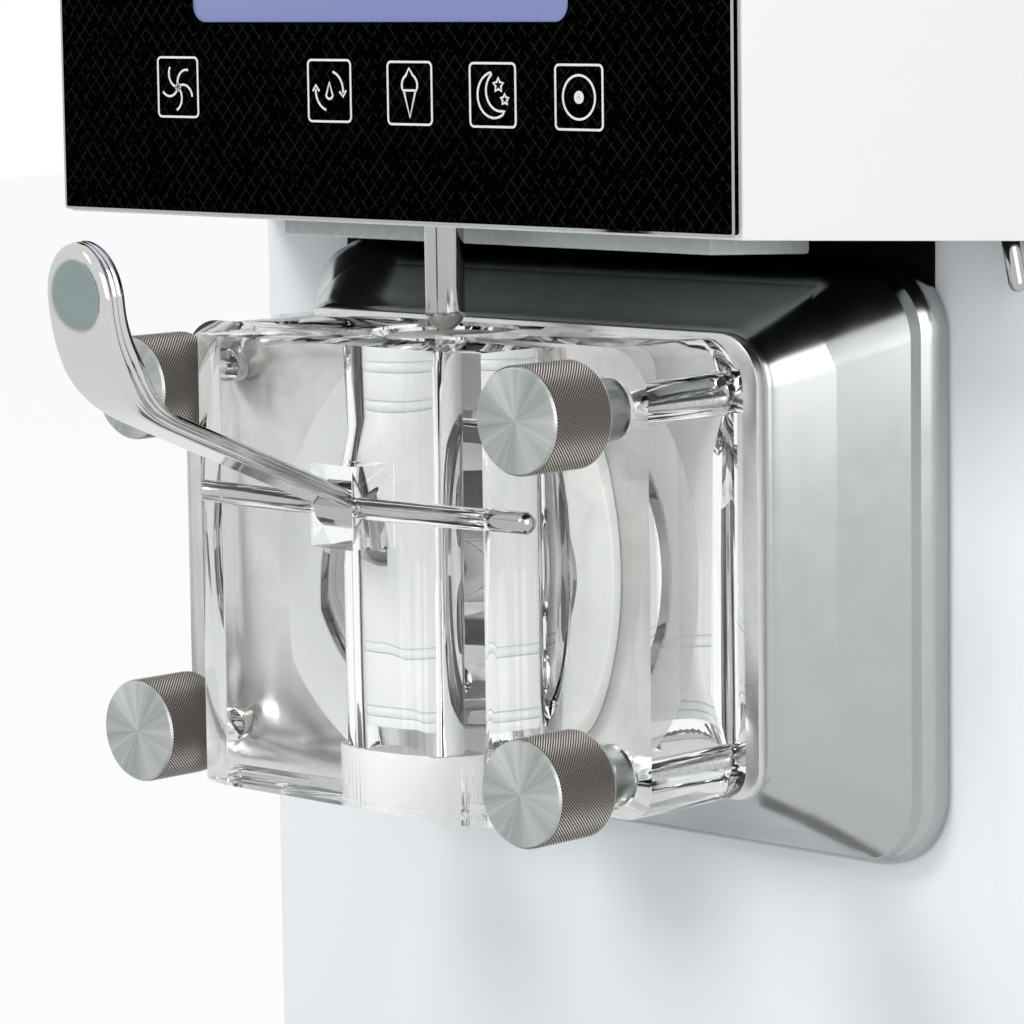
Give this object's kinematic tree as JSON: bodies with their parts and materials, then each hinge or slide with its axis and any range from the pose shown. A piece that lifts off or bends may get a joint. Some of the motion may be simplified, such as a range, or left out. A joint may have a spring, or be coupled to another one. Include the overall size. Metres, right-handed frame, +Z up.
{
  "type": "soft serve ice cream machine",
  "caption": "Counter-top soft serve ice cream machine with a clear dispensing door, draw lever, knurled knobs, control hood, hopper and drip tray.",
  "frame": {"origin": "on the counter, at the middle of the machine's outline seen from above", "axes": "+X to the user's right, +Y from the user into the machine, +Z up"},
  "size_m": [0.37, 0.7014, 0.708],
  "materials": {
    "white_sheet": "smooth bluish white powder coat",
    "frame_steel": "plain cold-rolled steel",
    "foot_rubber": "black rubber pad on a steel stem",
    "fastener_steel": "turned stainless steel",
    "black_sheet": "satin black",
    "black_panel": "gloss black with a fine rhombus lattice",
    "display": "plain lavender display",
    "circuit_board": "green board",
    "white_plastic": "food grade white plastic",
    "polished_steel": "mirror polished stainless steel",
    "turned_steel": "turned face, diamond-knurled barrel",
    "stainless_sheet": "brushed stainless steel",
    "copper": "bare copper tube",
    "foam": "rigid foam",
    "clear_acrylic": "clear polished acrylic",
    "seal_silicone": "cream translucent silicone",
    "black_rubber": "black rubber",
    "cast_housing": "painted casting",
    "motor_paint": "blue grey paint",
    "compressor_paint": "black paint",
    "aluminium_fins": "bare fins and tubes",
    "black_plastic": "black plastic",
    "grey_plastic": "pale grey lid",
    "red_plastic": "red rocker"
  },
  "bodies": {
    "machine": {"base_frame": "frame_steel", "levelling_feet": "foot_rubber", "front_panel": "white_sheet", "left_side_panel": "white_sheet", "right_side_panel": "white_sheet", "rear_panel": "white_sheet", "top_panel": "white_sheet", "panel_screws": "fastener_steel", "hood_shell": "white_sheet", "hood_underside": "black_sheet", "control_panel": "black_panel", "lcd_screen": "display", "control_board": "circuit_board", "underside_cover": "white_plastic", "draw_switch": "black_plastic", "shroud": "polished_steel", "rim_backing": "black_sheet", "flange_plate": "stainless_sheet", "door_studs": "fastener_steel", "freezing_cylinder": "stainless_sheet", "evaporator_coil": "copper", "insulation": "foam", "dispensing_door": "clear_acrylic", "door_gasket": "seal_silicone", "outlet_seat": "white_plastic", "front_bearing": "white_plastic", "lever_pin": "polished_steel", "shaft_seal": "black_rubber", "gearbox": "cast_housing", "motor": "motor_paint", "drive_belt": "black_rubber", "hopper": "stainless_sheet", "feed_tube": "white_plastic", "mix_pump": "cast_housing", "compressor": "compressor_paint", "condenser": "aluminium_fins", "fan_housing": "black_plastic", "rear_grille": "stainless_sheet", "tray_bracket": "frame_steel", "switch_housing": "black_sheet", "cord_gland": "black_rubber", "utensil_peg": "polished_steel"},
    "lever": {"lever": "polished_steel"},
    "plunger": {"plunger": "white_plastic", "plunger_rings": "seal_silicone"},
    "switch_rod": {"switch_rod": "polished_steel"},
    "knob_upper_left": {"knob_upper_left": "turned_steel"},
    "knob_upper_right": {"knob_upper_right": "turned_steel"},
    "knob_lower_left": {"knob_lower_left": "turned_steel"},
    "knob_lower_right": {"knob_lower_right": "turned_steel"},
    "beater": {"beater": "stainless_sheet", "scraper_blades": "white_plastic", "drive_shaft": "stainless_sheet"},
    "gearbox_pulley": {"gearbox_pulley": "cast_housing"},
    "motor_pulley": {"motor_pulley": "cast_housing"},
    "fan": {"fan_blades": "black_plastic"},
    "hopper_lid": {"hopper_lid": "grey_plastic"},
    "drip_tray": {"drip_tray": "stainless_sheet"},
    "drip_grille": {"drip_grille": "stainless_sheet"},
    "power_rocker": {"power_switch": "red_plastic"}
  },
  "joints": [
    {"name": "lever_pull", "type": "hinge", "parent": "machine", "child": "lever", "pos_m": [0, -0.23234, 0.37], "axis": [1, 0, 0], "range_deg": [0, 40]},
    {"name": "plunger_lift", "type": "slide", "parent": "machine", "child": "plunger", "axis": [0, 0, 1], "range_m": [0, 0.0254]},
    {"name": "switch_rod_lift", "type": "slide", "parent": "machine", "child": "switch_rod", "axis": [0, 0, 1], "range_m": [0, 0.0254]},
    {"name": "knob_upper_left_turn", "type": "hinge", "parent": "machine", "child": "knob_upper_left", "pos_m": [-0.0922, -0.20534, 0.4049], "axis": [0, 1, 0], "continuous": true},
    {"name": "knob_upper_right_turn", "type": "hinge", "parent": "machine", "child": "knob_upper_right", "pos_m": [0.0922, -0.20534, 0.4049], "axis": [0, 1, 0], "continuous": true},
    {"name": "knob_lower_left_turn", "type": "hinge", "parent": "machine", "child": "knob_lower_left", "pos_m": [-0.0922, -0.20534, 0.2851], "axis": [0, 1, 0], "continuous": true},
    {"name": "knob_lower_right_turn", "type": "hinge", "parent": "machine", "child": "knob_lower_right", "pos_m": [0.0922, -0.20534, 0.2851], "axis": [0, 1, 0], "continuous": true},
    {"name": "beater_spin", "type": "hinge", "parent": "machine", "child": "beater", "pos_m": [0, -0.02534, 0.345], "axis": [0, 1, 0], "continuous": true},
    {"name": "gearbox_pulley_spin", "type": "hinge", "parent": "machine", "child": "gearbox_pulley", "pos_m": [-0.0325, 0.18466, 0.29], "axis": [0, 1, 0], "continuous": true},
    {"name": "motor_pulley_spin", "type": "hinge", "parent": "machine", "child": "motor_pulley", "pos_m": [-0.085, 0.18466, 0.1255], "axis": [0, 1, 0], "continuous": true},
    {"name": "fan_spin", "type": "hinge", "parent": "machine", "child": "fan", "pos_m": [0, 0.27466, 0.1635], "axis": [0, 1, 0], "continuous": true},
    {"name": "lid_lift", "type": "slide", "parent": "machine", "child": "hopper_lid", "axis": [0, 0, 1], "range_m": [0, 0.15]},
    {"name": "tray_pull", "type": "slide", "parent": "machine", "child": "drip_tray", "axis": [0, -1, 0], "range_m": [0, 0.12]},
    {"name": "grille_lift", "type": "slide", "parent": "drip_tray", "child": "drip_grille", "axis": [0, 0, 1], "range_m": [0, 0.06]},
    {"name": "power_rock", "type": "hinge", "parent": "machine", "child": "power_rocker", "pos_m": [0.14, 0.33066, 0.3215], "axis": [1, 0, 0], "range_deg": [-20, 0]}
  ],
  "couplings": [
    {"joint": "plunger_lift", "follows": "lever_pull", "m_per_rad": 0.036253},
    {"joint": "switch_rod_lift", "follows": "lever_pull", "m_per_rad": 0.036253},
    {"joint": "gearbox_pulley_spin", "follows": "beater_spin", "ratio": 4},
    {"joint": "motor_pulley_spin", "follows": "beater_spin", "ratio": 8.4776}
  ]
}
